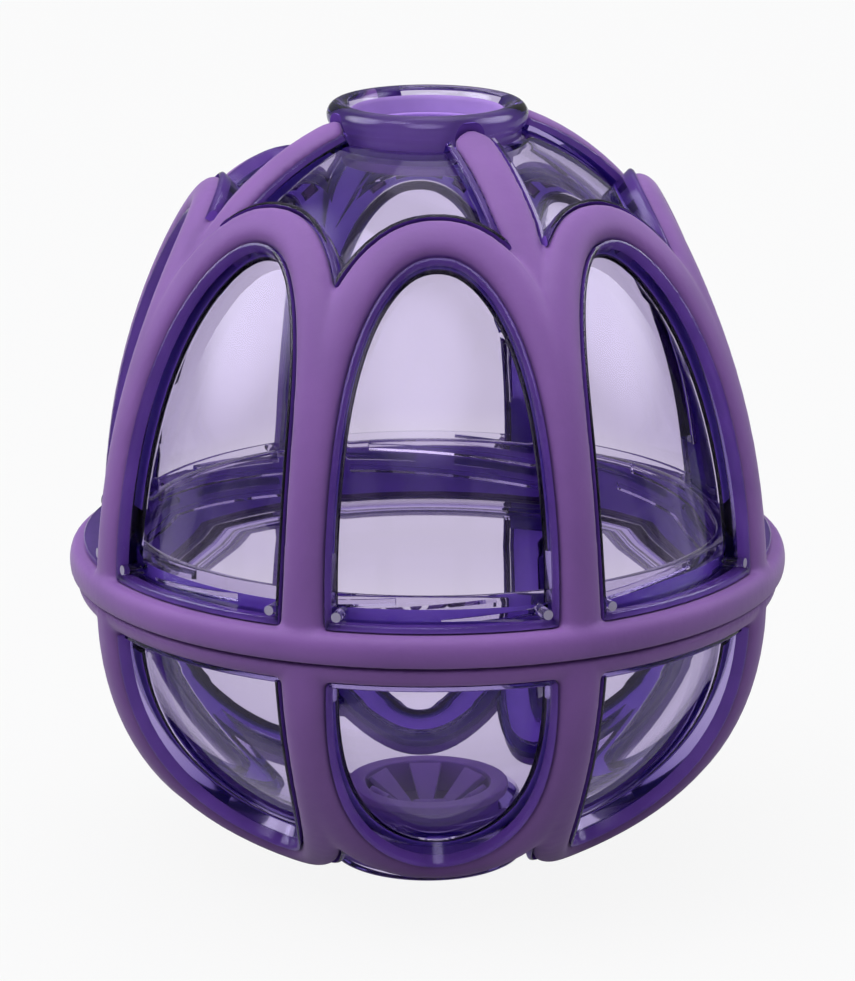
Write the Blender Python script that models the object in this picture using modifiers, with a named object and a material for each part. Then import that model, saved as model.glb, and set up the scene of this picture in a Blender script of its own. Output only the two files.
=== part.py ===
"""Treat dispensing egg for dogs: two clear half shells, each in a soft rubber cage, screwed together at the seam.

Treats fall out at either end, past a ring of rubber fingers. Metres, +Z up. The origin is the middle of the base
ring's underside, the egg's axis is Z, and the middle of one window looks along -Y.
"""

import math

import bmesh
import bpy
import numpy as np
from mathutils import Matrix, Vector

# Egg outline, taken over the crest of the rubber and counted from the seam
SEAM_RADIUS = 0.0587
CROWN_REACH = 0.0825
KEEL_REACH = 0.0515
FIT_GAP = 0.0003
OVERRUN = 0.001

# Clear shells: panes sunk between raised bands, and the rubber let into a seat along each band
PANE_DEPTH = 0.0055
PANE_WALL = 0.0022
LIP_DEPTH = 0.0009
LIP_WIDTH = 0.0011
SEAT_FLOOR = 0.002
CHANNEL_WALL = 0.0017

# Rubber ribs
RIB_WIDTH = 0.0068
RIB_DEPTH = 0.003
RIB_ROUND = 0.0013
LEG_FLARE = 0.0006
FLARE_HEIGHT = 0.022
ARCH_DROP = 0.0178
LOOP_DROP = 0.0075
SPOKE_WIDTH = 0.0062
SPOKE_DEPTH = 0.0021
SPOKE_TUCK = 0.0014
SPOKE_LEAD = 0.0014
SPOKE_SINK = 0.0014
SPOKE_END_SINK = 0.0027
SPOKE_LAP = 0.0006

# Rubber rings that meet at the seam
UPPER_RING_HEIGHT = 0.006
UPPER_RING_CROWN = 0.0014
LOWER_RING_HEIGHT = 0.004
LOWER_RING_TAPER = 0.0014
RING_INSET = 0.0004
RING_DEPTH = 0.004
RING_BACKING = 0.0014
RING_LIP = 0.0009

# Screw closure: a neck on the lower shell inside a skirt on the upper one
NECK_WALL = 0.0022
NECK_HEIGHT = 0.0092
NECK_BEVEL = 0.0006
SKIRT_WALL = 0.0024
THREAD_ROOM = 0.0015

# Bead round the upper outlet, ring under the lower one, and the bore through both
BORE_RADIUS = 0.0123
BEAD_WIDTH = 0.0042
BEAD_HEIGHT = 0.0044
BEAD_GROOVE = 0.0011
BEAD_GROOVE_HEIGHT = 0.0012
BASE_WIDTH = 0.004
BASE_HEIGHT = 0.00673
BASE_ROUND = 0.0012
MOUTH_BEVEL = 0.0005
COLLAR_FOOT = 0.0007
BOSS_WALL = 0.003
BOSS_WIDTH = 0.0034

# Rubber outlets
OUTLET_FLANGE = 0.0016
OUTLET_FLANGE_WIDTH = 0.0016
OUTLET_WALL = 0.0011
OUTLET_TUBE = 0.0045
FINGER_THICK = 0.0013
FINGER_ROOT_WIDTH = 0.0058
FINGER_TIP_WIDTH = 0.0022
FINGER_HOLE = 0.0034

# Places that follow from the sizes: what sits inside what, with its wall and its room
SEAT_RADIUS = SEAM_RADIUS - RING_DEPTH
SKIRT_OUTER = SEAT_RADIUS - RING_BACKING
SKIRT_INNER = SKIRT_OUTER - SKIRT_WALL
NECK_RADIUS = SKIRT_INNER - THREAD_ROOM
LEDGE_DROP = LOWER_RING_HEIGHT - RING_LIP
SKIRT_DROP = LEDGE_DROP - 2 * FIT_GAP
BEAD_RADIUS = BORE_RADIUS + BEAD_WIDTH
BASE_RADIUS = BORE_RADIUS + BASE_WIDTH
OUTLET_RADIUS = BORE_RADIUS - FIT_GAP
OUTLET_HOLE = OUTLET_RADIUS - OUTLET_WALL
ARCH_REACH = CROWN_REACH - ARCH_DROP
LOOP_REACH = KEEL_REACH - LOOP_DROP

# Shape of the outline and the arches, as powers of the curves, and how finely they are cut
CROWN_POWERS = (2.1, 2.05)
KEEL_POWERS = (2.25, 2.0)
ARCH_POWERS = (2.2, 6.5)
LOOP_POWERS = (2.2, 5.5)
FINGER_SLOPE = math.radians(43)
BAYS = 8
BAY_ANGLE = 2 * math.pi / BAYS
SPOKES = 4
FINGERS = 6
SIDES = 32
RING_SIDES = 48
OUTLET_SIDES = 24
CROWN_ROWS = 7
KEEL_ROWS = 5
ARCH_PIECES = 13
LOOP_PIECES = 11
SPOKE_ROWS = 4
BEAD_ROWS = 5
ROUND_ROWS = 2
SAMPLES = 801
HALVINGS = 50
TURN_LENGTH = 0.022
WELD = 0.000001
SMOOTH_ANGLE = math.radians(35)
FLAT_ANGLE = math.radians(1.5)


class Half:
    """One half of the egg. Its heights are counted from the seam towards its own end."""

    def __init__(self, name, way, reach, powers, arch):
        self.name = name
        self.way = way
        self.reach = reach
        self.height_power, self.radius_power = powers
        self.arch_reach, (self.across_power, self.along_power), self.arch_pieces = arch

    def lean(self, height):
        """The crest line's radius at this height, and its outward normal as (out, along)."""
        share = height / self.reach
        radius_share = (1 - share**self.height_power) ** (1 / self.radius_power)
        out = self.radius_power * radius_share ** (self.radius_power - 1) / SEAM_RADIUS
        along = self.height_power * share ** (self.height_power - 1) / self.reach
        length = math.hypot(out, along)
        return radius_share * SEAM_RADIUS, out / length, along / length

    def skin(self, height, depth):
        """The (radius, height) of the point that lies this deep under the crest line."""
        radius, out, along = self.lean(height)
        return radius - depth * out, height - depth * along

    def height_at(self, radius, depth):
        """The crest height whose point at this depth has the given radius, found by halving."""
        low, high = 0, self.reach
        for _ in range(HALVINGS):
            middle = (low + high) / 2
            if self.skin(middle, depth)[0] > radius:
                low = middle
            else:
                high = middle
        return low

    def outline(self, depth, start, end, rows):
        """Points (radius, height) at one depth, between two crest heights, closer together near the end."""
        first, last = (math.asin((h / self.reach) ** (self.height_power / 2)) for h in (start, end))
        turns = np.linspace(first, last, rows + 1)
        heights = self.reach * np.sin(turns) ** (2 / self.height_power)
        return [self.skin(height, depth) for height in heights]

    def place(self, angle, radius, height):
        """A point in space. The angle is counted from -Y towards +X."""
        across, along = radius * math.sin(angle), -radius * math.cos(angle)
        return Vector((across, along, SEAM_HEIGHT + self.way * height))

    def arch(self, inset, start, shares):
        """(angle, height) points of an arch drawn in by the inset. Its feet are at the shares -1 and 1."""
        reach = self.arch_reach - inset * self.lean(self.arch_reach)[1]
        last = math.acos((start / reach) ** (self.along_power / 2))
        points = []
        for share in shares:
            height = reach * math.cos(last * share) ** (2 / self.along_power)
            flare = LEG_FLARE * max(0, 1 - height / FLARE_HEIGHT) ** 2
            spread = BAY_ANGLE / 2 - (inset + flare) / self.lean(height)[0]
            across = abs(math.sin(last * share)) ** (2 / self.across_power)
            points.append((math.copysign(spread * across, share), height))
        return points

    def notch(self, inset):
        """The height at which an arch drawn in by the inset meets the next one, found by halving."""
        low, high = 0, 1
        for _ in range(HALVINGS):
            middle = (low + high) / 2
            if self.arch(inset, 0, [middle])[0][0] < BAY_ANGLE / 2:
                low = middle
            else:
                high = middle
        return self.arch(inset, 0, [low])[0][1]

    def arch_shares(self):
        """Shares from foot to foot that follow the arch evenly, closer together where it bends."""
        shares = np.linspace(-1, 1, SAMPLES)
        points = np.array([self.place(a, *self.skin(h, 0)) for a, h in self.arch(0, 0, shares)])
        steps = np.diff(points, axis=0)
        lengths = np.linalg.norm(steps, axis=1)
        bends = np.linalg.norm(np.diff(steps / lengths[:, None], axis=0), axis=1)
        turning = (np.append(bends, 0) + np.insert(bends, 0, 0)) / 2
        measure = np.concatenate([[0], np.cumsum(lengths + TURN_LENGTH * turning)])
        return np.interp(np.linspace(0, measure[-1], self.arch_pieces + 1), measure, shares)


UPPER = Half("upper", 1, CROWN_REACH, CROWN_POWERS, (ARCH_REACH, ARCH_POWERS, ARCH_PIECES))
LOWER = Half("lower", -1, KEEL_REACH, KEEL_POWERS, (LOOP_REACH, LOOP_POWERS, LOOP_PIECES))


def pane_edge(half, ring_radius):
    """How far from the seam a pane's surface ends, at the foot of the ring round the bore."""
    return half.skin(half.height_at(ring_radius + COLLAR_FOOT, PANE_DEPTH), PANE_DEPTH)[1]


BEAD_UNDER = pane_edge(UPPER, BEAD_RADIUS) + BEAD_GROOVE_HEIGHT
UPPER_BOSS = pane_edge(UPPER, BEAD_RADIUS) - BOSS_WALL
LOWER_BOSS = pane_edge(LOWER, BASE_RADIUS) - BOSS_WALL
SEAM_HEIGHT = pane_edge(LOWER, BASE_RADIUS) + BASE_HEIGHT
SPOKE_FOOT = UPPER.notch(-RIB_WIDTH / 2) - SPOKE_TUCK


def start_scene():
    """An empty scene with one collection for the pieces and one for the shapes that cut or join them."""
    for thing in list(bpy.data.objects):
        bpy.data.objects.remove(thing)
    pieces = bpy.data.collections.new("treat_dispensing_egg")
    tools = bpy.data.collections.new("cutters")
    for collection in (pieces, tools):
        bpy.context.scene.collection.children.link(collection)
    return pieces, tools


def principled(name, colour, roughness, transmission=0.0):
    """A Principled material. The colour is linear RGB."""
    material = bpy.data.materials.new(name)
    material.use_nodes = True
    shader = material.node_tree.nodes["Principled BSDF"]
    shader.inputs["Base Color"].default_value = (*colour, 1.0)
    shader.inputs["Roughness"].default_value = roughness
    shader.inputs["Metallic"].default_value = 0.0
    shader.inputs["Transmission Weight"].default_value = transmission
    return material


def add_object(name, mesh, collection):
    thing = bpy.data.objects.new(name, mesh)
    collection.objects.link(thing)
    if collection is TOOLS:
        thing.hide_render = True
        thing.display_type = "WIRE"
    return thing


def mesh_of(name, bm):
    """Turn a bmesh into a mesh with its faces pointing out, as triangles because a loft's quads aren't flat."""
    bmesh.ops.recalc_face_normals(bm, faces=bm.faces)
    bmesh.ops.triangulate(bm, faces=bm.faces)
    mesh = bpy.data.meshes.new(name)
    bm.to_mesh(mesh)
    bm.free()
    return mesh


def turned(name, half, outline, sides, collection):
    """A closed outline of (radius, height) points turned about the egg's axis, with a facet facing -Y."""
    points = [(radius, SEAM_HEIGHT + half.way * height) for radius, height in outline]
    following = points[1:] + points[:1]
    if sum(r * z_next - r_next * z for (r, z), (r_next, z_next) in zip(points, following)) > 0:
        points.reverse()
    mesh = bpy.data.meshes.new(name)
    edges = [(i, (i + 1) % len(points)) for i in range(len(points))]
    across, along = math.cos(math.pi / sides), math.sin(math.pi / sides)
    mesh.from_pydata([(radius * across, radius * along, z) for radius, z in points], edges, [])
    thing = add_object(name, mesh, collection)
    screw = thing.modifiers.new("turned", "SCREW")
    screw.steps = screw.render_steps = sides
    screw.merge_threshold = WELD
    return thing


def loft(rings):
    """A closed solid through rings of points. Each ring is extruded from the one before and moved to its place."""
    bm = bmesh.new()
    face = bm.faces.new([bm.verts.new(point) for point in rings[0]])
    for ring in rings[1:]:
        face = bmesh.ops.extrude_discrete_faces(bm, faces=[face])["faces"][0]
        for vertex, point in zip(face.verts, ring):
            vertex.co = point
    bmesh.ops.holes_fill(bm, edges=[edge for edge in bm.edges if edge.is_boundary])
    bmesh.ops.recalc_face_normals(bm, faces=bm.faces)
    return bm


def spin_copies(bm, copies):
    """Repeat what the bmesh holds evenly about the egg's axis, welded where neighbours meet."""
    step = 2 * math.pi / copies
    geometry = bm.verts[:] + bm.edges[:] + bm.faces[:]
    bmesh.ops.spin(
        bm, geom=geometry, axis=(0, 0, 1), angle=step * (copies - 1), steps=copies - 1, use_duplicate=True
    )
    bmesh.ops.remove_doubles(bm, verts=bm.verts, dist=WELD)


def boolean(thing, other, operation):
    modifier = thing.modifiers.new(other.name, "BOOLEAN")
    modifier.object = other
    modifier.operation = operation
    modifier.solver = "EXACT"


def finish(thing, material):
    """Join the flat scraps that cutting leaves, give a piece its material, and shade its round faces smooth."""
    thin = thing.modifiers.new("flat_faces", "DECIMATE")
    thin.decimate_type = "DISSOLVE"
    thin.angle_limit = FLAT_ANGLE
    thing.data.materials.append(material)
    thing.data.shade_smooth()
    thing.data.set_sharp_from_angle(angle=SMOOTH_ANGLE)
    return thing


def box_section(half_width, top, bottom):
    """A plain section of (sideways, depth) points."""
    return [(-half_width, bottom), (-half_width, top), (half_width, top), (half_width, bottom)]


def rib_section(half_width, top, bottom):
    """A rib's section: a flat crest with rounded shoulders, over straight sides."""
    turns = np.linspace(0, math.pi / 2, ROUND_ROWS + 1)
    shoulder = [
        (half_width - RIB_ROUND * (1 - math.cos(turn)), top + RIB_ROUND * (1 - math.sin(turn)))
        for turn in turns
    ]
    right = [(half_width, bottom)] + shoulder
    return [(-sideways, depth) for sideways, depth in right] + right[::-1]


def carry(half, line, sections, sinks):
    """Rings of points: each station's section stood on the egg's surface, across the line."""
    crest = [half.place(a, *half.skin(h, sink)) for (a, h), sink in zip(line, sinks)]
    rings = []
    for i, ((angle, height), section) in enumerate(zip(line, sections)):
        ahead = crest[min(i + 1, len(line) - 1)] - crest[max(i - 1, 0)]
        _, out, along = half.lean(height)
        normal = Vector((out * math.sin(angle), -out * math.cos(angle), half.way * along))
        side = ahead.cross(normal).normalized()
        rings.append([crest[i] + side * sideways - normal * depth for sideways, depth in section])
    return rings


def cage(half, name, section, start):
    """Eight arches side by side. One bay is cut at its two edges, where the next bays join, and spun round."""
    shares = half.arch_shares()
    lines = []
    for inset, depth in section:
        lines.append([half.place(a, *half.skin(h, depth)) for a, h in half.arch(inset, start, shares)])
    bm = loft(list(zip(*lines)))
    for way in (-1, 1):
        edge = way * BAY_ANGLE / 2
        outward = Vector((way * math.cos(edge), way * math.sin(edge), 0))
        geometry = bm.verts[:] + bm.edges[:] + bm.faces[:]
        bmesh.ops.bisect_plane(
            bm, geom=geometry, dist=WELD / 10, plane_co=(0, 0, 0), plane_no=outward, clear_outer=True
        )
    spin_copies(bm, BAYS)
    return mesh_of(name, bm)


def spokes(name, section, half_width, top, bottom, foot, end_radius, round_end):
    """Four ribs from the notches between arches to the bead round the outlet."""
    end = UPPER.height_at(end_radius, SPOKE_END_SINK)
    shares = list(np.linspace(0, 1, SPOKE_ROWS + 1))
    widths = [half_width] * len(shares)
    if round_end:
        reach = math.hypot(UPPER.skin(foot, 0)[0] - end_radius, end - foot)
        turns = np.linspace(0, math.pi / 2, ROUND_ROWS + 1)[:-1]
        shares = shares[:-1] + [1 - half_width * (1 - math.sin(turn)) / reach for turn in turns]
        widths = widths[:-1] + [half_width * math.cos(turn) for turn in turns]
    turns = [math.asin((h / UPPER.reach) ** (UPPER.height_power / 2)) for h in (foot, end)]
    line = []
    for share in shares:
        turn = turns[0] + (turns[1] - turns[0]) * share
        line.append((BAY_ANGLE / 2, UPPER.reach * math.sin(turn) ** (2 / UPPER.height_power)))
    sinks = [SPOKE_SINK + (SPOKE_END_SINK - SPOKE_SINK) * share for share in shares]
    bm = loft(carry(UPPER, line, [section(width, top, bottom) for width in widths], sinks))
    spin_copies(bm, SPOKES)
    return mesh_of(name, bm)


def quarter(centre, radii, start, turn, rows):
    """Points on part of an ellipse, from the start angle through the turn."""
    turns = np.linspace(start, start + turn, rows + 1)
    return [(centre[0] + radii[0] * math.cos(t), centre[1] + radii[1] * math.sin(t)) for t in turns]


def inner_face(half, start, boss, rows):
    """The inside of a shell from a crest height to the boss round its bore."""
    boss_edge = BORE_RADIUS + BOSS_WIDTH
    end = half.height_at(boss_edge + COLLAR_FOOT, PANE_DEPTH + PANE_WALL)
    outline = half.outline(PANE_DEPTH + PANE_WALL, start, end, rows)
    return outline + [(boss_edge, boss), (BORE_RADIUS, boss)]


def upper_shell():
    lip_top = UPPER_RING_HEIGHT + FIT_GAP + RING_LIP
    bead_centre = (BORE_RADIUS + BEAD_WIDTH / 2, BEAD_UNDER + BEAD_HEIGHT / 2)
    groove = BEAD_RADIUS - BEAD_GROOVE
    pane_end = UPPER.height_at(BEAD_RADIUS + COLLAR_FOOT, PANE_DEPTH)
    outline = quarter(bead_centre, (BEAD_WIDTH / 2, BEAD_HEIGHT / 2), math.pi, -math.pi * 5 / 4, BEAD_ROWS)
    outline += [(groove, BEAD_UNDER), (groove, BEAD_UNDER - BEAD_GROOVE_HEIGHT)]
    outline += UPPER.outline(PANE_DEPTH, lip_top, pane_end, CROWN_ROWS)[::-1]
    outline += [
        (UPPER.skin(lip_top, LIP_DEPTH)[0], lip_top),
        (UPPER.skin(lip_top, LIP_DEPTH)[0], lip_top - RING_LIP),
        (SEAT_RADIUS, lip_top - RING_LIP),
        (SEAT_RADIUS, FIT_GAP / 2),
        (SKIRT_OUTER, FIT_GAP / 2),
        (SKIRT_OUTER, -SKIRT_DROP),
        (SKIRT_INNER, -SKIRT_DROP),
        (SKIRT_INNER, NECK_HEIGHT + FIT_GAP + NECK_BEVEL),
    ]
    inner_start = UPPER.height_at(SKIRT_INNER - COLLAR_FOOT, PANE_DEPTH + PANE_WALL)
    outline += inner_face(UPPER, inner_start, UPPER_BOSS, CROWN_ROWS - 1)
    shell = turned("upper_shell", UPPER, outline, SIDES, PIECES)
    dress_shell(shell, UPPER, lip_top - RING_LIP / 2, inner_start + CHANNEL_WALL)
    half_spoke = SPOKE_WIDTH / 2
    seat_top, seat_bottom = -OVERRUN - SPOKE_SINK, SPOKE_DEPTH + FIT_GAP
    band = spokes(
        "spoke_bands", box_section, half_spoke + FIT_GAP + LIP_WIDTH, LIP_DEPTH,
        PANE_DEPTH + PANE_WALL / 4 - SPOKE_SINK, SPOKE_FOOT, BEAD_RADIUS + COLLAR_FOOT, False,
    )
    boolean(shell, add_object("spoke_bands", band, TOOLS), "UNION")
    channel = spokes(
        "spoke_channels", box_section, half_spoke + FIT_GAP + LIP_WIDTH - CHANNEL_WALL,
        SPOKE_DEPTH + FIT_GAP + SEAT_FLOOR, PANE_DEPTH + PANE_WALL + OVERRUN - SPOKE_SINK,
        SPOKE_FOOT - 2 * SPOKE_LEAD, BORE_RADIUS + 2 * BOSS_WIDTH, False,
    )
    boolean(shell, add_object("spoke_channels", channel, TOOLS), "DIFFERENCE")
    cut_seats(shell, UPPER)
    seats = spokes(
        "spoke_seats", box_section, half_spoke + FIT_GAP, seat_top, seat_bottom,
        SPOKE_FOOT - SPOKE_LEAD, BEAD_RADIUS - SPOKE_LAP - FIT_GAP, True,
    )
    boolean(shell, add_object("spoke_seats", seats, TOOLS), "DIFFERENCE")
    return finish(shell, CLEAR)


def lower_shell():
    lip_top = LOWER_RING_HEIGHT + FIT_GAP + RING_LIP
    lip_radius = SEAM_RADIUS - RING_INSET - LOWER_RING_TAPER - LIP_DEPTH / 2
    neck_inner = NECK_RADIUS - NECK_WALL
    pane_end = LOWER.height_at(BASE_RADIUS + COLLAR_FOOT, PANE_DEPTH)
    outline = [
        (neck_inner, -NECK_HEIGHT + NECK_BEVEL),
        (neck_inner + NECK_BEVEL, -NECK_HEIGHT),
        (NECK_RADIUS - NECK_BEVEL, -NECK_HEIGHT),
        (NECK_RADIUS, -NECK_HEIGHT + NECK_BEVEL),
        (NECK_RADIUS, LEDGE_DROP),
        (SEAT_RADIUS, LEDGE_DROP),
        (SEAT_RADIUS, lip_top - RING_LIP),
        (lip_radius, lip_top - RING_LIP),
        (lip_radius, lip_top),
    ]
    outline += LOWER.outline(PANE_DEPTH, lip_top, pane_end, KEEL_ROWS)
    outline += [(BASE_RADIUS, pane_end - PANE_DEPTH + COLLAR_FOOT)]
    round_centre = (BASE_RADIUS - BASE_ROUND, SEAM_HEIGHT - BASE_ROUND)
    outline += quarter(round_centre, (BASE_ROUND, BASE_ROUND), 0, math.pi / 2, ROUND_ROWS)
    outline += [(BORE_RADIUS + MOUTH_BEVEL, SEAM_HEIGHT), (BORE_RADIUS, SEAM_HEIGHT - MOUTH_BEVEL)]
    inner_start = lip_top + NECK_WALL
    outline += inner_face(LOWER, inner_start, LOWER_BOSS, KEEL_ROWS - 1)[::-1]
    outline += [(neck_inner, LEDGE_DROP)]
    shell = turned("lower_shell", LOWER, outline, SIDES, PIECES)
    dress_shell(shell, LOWER, lip_top - RING_LIP / 2, inner_start + CHANNEL_WALL)
    cut_seats(shell, LOWER)
    return finish(shell, CLEAR)


def dress_shell(shell, half, band_start, channel_start):
    """Raise the bands that carry the rubber, and hollow them from inside to an even wall."""
    band_half = RIB_WIDTH / 2 + FIT_GAP + LIP_WIDTH
    name = half.name + "_bands"
    bands = cage(half, name, box_section(band_half, LIP_DEPTH, PANE_DEPTH + PANE_WALL / 2), band_start)
    boolean(shell, add_object(name, bands, TOOLS), "UNION")
    name = half.name + "_channels"
    floor = RIB_DEPTH + FIT_GAP + SEAT_FLOOR
    section = box_section(band_half - CHANNEL_WALL, floor, PANE_DEPTH + PANE_WALL + OVERRUN)
    boolean(shell, add_object(name, cage(half, name, section, channel_start), TOOLS), "DIFFERENCE")


def cut_seats(shell, half):
    """Cut the seats that the rubber ribs lie in."""
    name = half.name + "_seats"
    section = box_section(RIB_WIDTH / 2 + FIT_GAP, -OVERRUN, RIB_DEPTH + FIT_GAP)
    boolean(shell, add_object(name, cage(half, name, section, 0), TOOLS), "DIFFERENCE")


def upper_bumper():
    """Rubber arches and spokes, joined by the ring at the seam."""
    ribs = cage(UPPER, "upper_bumper", rib_section(RIB_WIDTH / 2, 0, RIB_DEPTH), UPPER_RING_HEIGHT / 2)
    bumper = add_object("upper_bumper", ribs, PIECES)
    middle = (UPPER_RING_HEIGHT + FIT_GAP / 2) / 2
    crown = (UPPER_RING_CROWN, middle - FIT_GAP / 2)
    outline = [(SEAT_RADIUS + FIT_GAP, FIT_GAP / 2)]
    outline += quarter((SEAM_RADIUS - crown[0] / 4, middle), crown, -math.pi / 2, math.pi, 2 * ROUND_ROWS)
    outline += [(SEAT_RADIUS + FIT_GAP, UPPER_RING_HEIGHT)]
    boolean(bumper, turned("upper_ring", UPPER, outline, RING_SIDES, TOOLS), "UNION")
    arms = spokes(
        "rubber_spokes", rib_section, SPOKE_WIDTH / 2, 0, SPOKE_DEPTH,
        SPOKE_FOOT - SPOKE_LEAD / 2, BEAD_RADIUS - SPOKE_LAP, True,
    )
    boolean(bumper, add_object("rubber_spokes", arms, TOOLS), "UNION")
    return finish(bumper, RUBBER)


def lower_bumper():
    """Rubber loops under the seam, joined by a ring that also laps over the ledge round the neck."""
    ribs = cage(LOWER, "lower_bumper", rib_section(RIB_WIDTH / 2, 0, RIB_DEPTH), FIT_GAP)
    bumper = add_object("lower_bumper", ribs, PIECES)
    top = FIT_GAP / 2
    lap_radius = SKIRT_OUTER + 2 * FIT_GAP
    outer = SEAM_RADIUS - RING_INSET
    outline = [(lap_radius, top)]
    outline += quarter(
        (outer - LOWER_RING_TAPER, top), (LOWER_RING_TAPER, LOWER_RING_HEIGHT - top), 0, math.pi / 2, ROUND_ROWS
    )
    outline += [
        (SEAT_RADIUS + FIT_GAP, LOWER_RING_HEIGHT),
        (SEAT_RADIUS + FIT_GAP, LEDGE_DROP - FIT_GAP),
        (lap_radius, LEDGE_DROP - FIT_GAP),
    ]
    boolean(bumper, turned("lower_ring", LOWER, outline, RING_SIDES, TOOLS), "UNION")
    return finish(bumper, RUBBER)


def outlet(half, boss):
    """The rubber plug in a bore: a flange inside the shell and a short tube."""
    seat = boss - FIT_GAP
    outline = [
        (OUTLET_HOLE, seat - OUTLET_FLANGE),
        (BORE_RADIUS + OUTLET_FLANGE_WIDTH, seat - OUTLET_FLANGE),
        (BORE_RADIUS + OUTLET_FLANGE_WIDTH, seat),
        (OUTLET_RADIUS, seat),
        (OUTLET_RADIUS, boss + OUTLET_TUBE),
        (OUTLET_HOLE, boss + OUTLET_TUBE),
    ]
    ring = turned(half.name + "_outlet_ring", half, outline, OUTLET_SIDES, PIECES)
    return finish(ring, RUBBER)


def finger_mesh():
    """One finger along +X from its hinge line: round at the root, and narrower and square at the tip."""
    room = OUTLET_HOLE * math.cos(math.pi / OUTLET_SIDES) - FIT_GAP
    hinge = math.sqrt(room**2 - (FINGER_ROOT_WIDTH / 2) ** 2) - FINGER_THICK / 2
    length = (hinge - FINGER_HOLE) / math.cos(FINGER_SLOPE)
    half_thick = FINGER_THICK / 2
    section = [(length, half_thick), (length, -half_thick)]
    section += quarter((0, 0), (half_thick, half_thick), -math.pi / 2, -math.pi, 2 * ROUND_ROWS)
    bm = bmesh.new()
    half_root, half_tip = FINGER_ROOT_WIDTH / 2, FINGER_TIP_WIDTH / 2
    face = bm.faces.new([bm.verts.new((x, 0, z)) for x, z in section])
    grown = bmesh.ops.extrude_face_region(bm, geom=[face])
    moved = [item for item in grown["geom"] if isinstance(item, bmesh.types.BMVert)]
    for vertex in bm.verts:
        share = max(0, vertex.co.x) / length
        width = half_root + (half_tip - half_root) * share
        vertex.co.y = width if vertex in moved else -width
    return mesh_of("finger", bm), hinge


def fingers(half, boss, mesh, hinge):
    """Six fingers on hinge lines round the hole, leaning out towards the end of the egg."""
    for number in range(FINGERS):
        angle = number * 2 * math.pi / FINGERS
        finger = add_object(f"{half.name}_finger_{number + 1}", mesh, PIECES)
        height = boss - FIT_GAP - OUTLET_FLANGE / 2
        inward = half.place(angle, -1, 0) - half.place(angle, 0, 0)
        up = Vector((0, 0, half.way))
        along = inward * math.cos(FINGER_SLOPE) + up * math.sin(FINGER_SLOPE)
        across = up.cross(inward)
        turn = Matrix((along, across, along.cross(across))).transposed().to_4x4()
        finger.matrix_world = Matrix.Translation(half.place(angle, hinge, height)) @ turn


PIECES, TOOLS = start_scene()
CLEAR = principled("clear_purple", (0.30, 0.16, 0.62), 0.08, 0.9)
RUBBER = principled("lilac_rubber", (0.29, 0.14, 0.41), 0.6)

lower_shell()
upper_shell()
lower_bumper()
upper_bumper()
FINGER, FINGER_HINGE = finger_mesh()
FINGER.materials.append(RUBBER)
for each_half, each_boss in ((LOWER, LOWER_BOSS), (UPPER, UPPER_BOSS)):
    outlet(each_half, each_boss)
    fingers(each_half, each_boss, FINGER, FINGER_HINGE)
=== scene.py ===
import math

import bmesh
import bpy
import numpy as np
from mathutils import Matrix, Vector


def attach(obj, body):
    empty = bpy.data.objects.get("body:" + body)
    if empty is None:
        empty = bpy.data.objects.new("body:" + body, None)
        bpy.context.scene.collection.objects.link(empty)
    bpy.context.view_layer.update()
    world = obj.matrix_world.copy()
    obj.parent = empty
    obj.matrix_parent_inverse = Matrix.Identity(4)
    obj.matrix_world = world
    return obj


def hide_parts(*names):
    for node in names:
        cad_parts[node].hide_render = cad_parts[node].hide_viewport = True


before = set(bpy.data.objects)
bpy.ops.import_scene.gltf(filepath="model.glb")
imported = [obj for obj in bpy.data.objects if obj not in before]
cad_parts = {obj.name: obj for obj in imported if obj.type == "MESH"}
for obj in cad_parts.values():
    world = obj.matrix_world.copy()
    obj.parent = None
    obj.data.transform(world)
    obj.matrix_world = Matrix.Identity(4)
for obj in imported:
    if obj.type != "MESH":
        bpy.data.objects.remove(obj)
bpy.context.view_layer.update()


# Lower clear shell: a bowl of tinted polycarbonate with eight sunken U windows and a raised band between
# them that carries the rubber. It is moulded in one, hollowed behind each band to an even wall, and its neck
# stands above the seam. A ring round the outlet is its foot.
SEAM_Z = 0.050597
SEAM_RADIUS = 0.0587
BAYS = 8
BAY = 2 * math.pi / BAYS
GAP = 0.0003
PANE_DEPTH, PANE_WALL = 0.0055, 0.0022
RIB_WIDTH, RIB_DEPTH = 0.0068, 0.003
LIP_DEPTH, LIP_WIDTH, LIP_ROUND = 0.0012, 0.0008, 0.0007
BAND_FOOT, BAND_FILLET = 0.0009, 0.001
SEAT_FLOOR, CHANNEL_WALL, CHANNEL_ROUND = 0.002, 0.0017, 0.0006
LEG_FLARE, FLARE_HEIGHT = 0.0006, 0.022
SEAT_RADIUS, RING_LIP = 0.0547, 0.0009
NECK_RADIUS, NECK_WALL, NECK_HEIGHT = 0.0494, 0.0022, 0.0092
LEDGE_DROP = 0.0031
BORE_RADIUS = 0.0123
BOSS_WALL, BOSS_WIDTH, COLLAR_FOOT = 0.003, 0.0034, 0.0007
BASE_RADIUS = 0.0163
LOWER_RING_HEIGHT, LOWER_RING_TAPER, RING_INSET = 0.0032, 0.0015, 0.0001
CUT_PAST, CUT_RADIUS = 0.001, 0.07
ARCH_SAMPLES, ARCH_PIECES, BEND_WEIGHT = 1201, 45, 0.022
MERGE, SPIN_MERGE = 1e-7, 1e-6


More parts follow.
